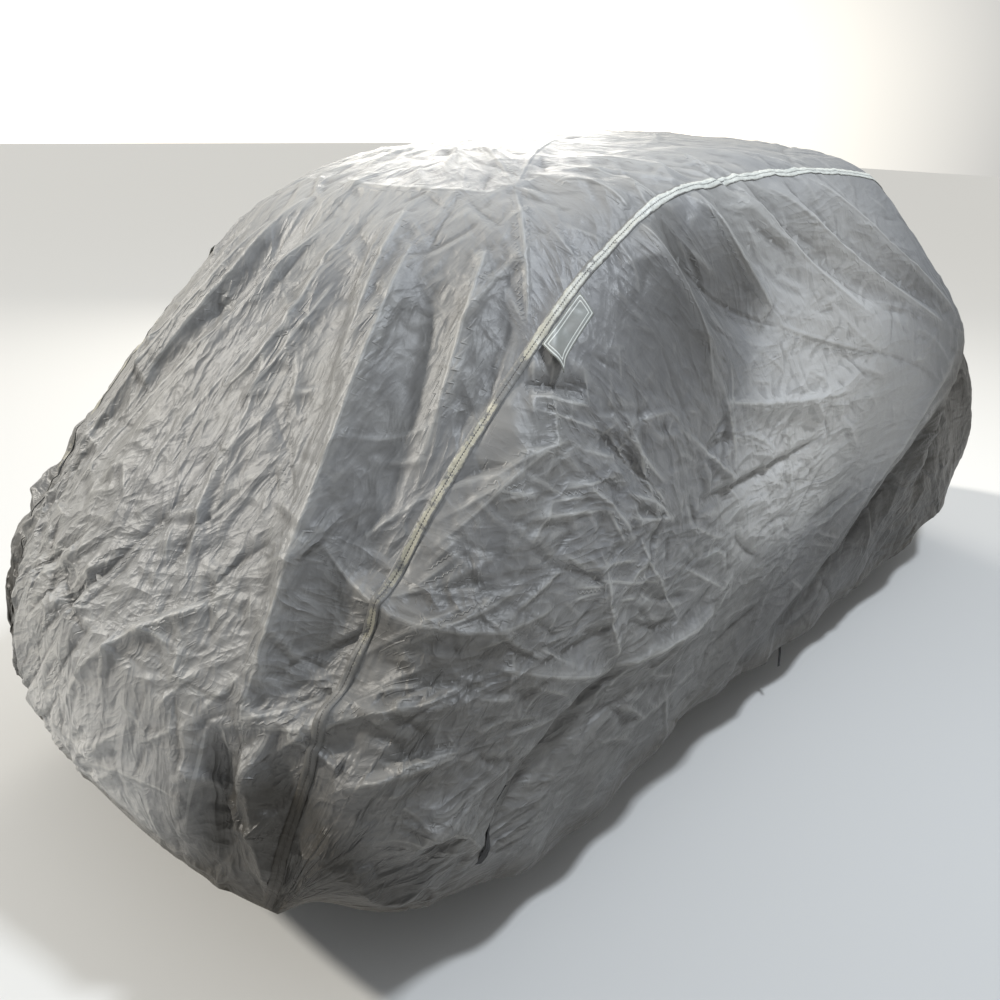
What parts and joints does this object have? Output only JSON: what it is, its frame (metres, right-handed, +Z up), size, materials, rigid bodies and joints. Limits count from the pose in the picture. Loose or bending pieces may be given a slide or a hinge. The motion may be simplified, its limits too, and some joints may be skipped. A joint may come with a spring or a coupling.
{
  "type": "fitted car cover",
  "caption": "Fitted cover of coated cloth for a small saloon car, hanging in its folds, with taped seams, corner flaps and short webbing straps.",
  "frame": {"origin": "on the middle plane, under the highest part of the top panel, where a roof would carry the cover", "axes": "+X from the tail to the nose, +Y to the cover's left side, +Z up"},
  "size_m": [3.0754, 1.4726, 1.2655],
  "materials": {
    "cloth": "coated, slightly glossy, finely creased",
    "tape": "pale matte tape with a stitch line",
    "webbing": "matte black webbing"
  },
  "bodies": {
    "root": {"top_panel": "cloth", "side_panel_right": "cloth", "side_panel_left": "cloth", "seam_tape_right": "tape", "seam_tape_left": "tape", "corner_flap_right": "cloth", "corner_flap_left": "cloth", "hem_strap_right": "webbing", "hem_strap_left": "webbing", "strap_tail_right": "webbing", "strap_tail_left": "webbing"}
  },
  "joints": []
}
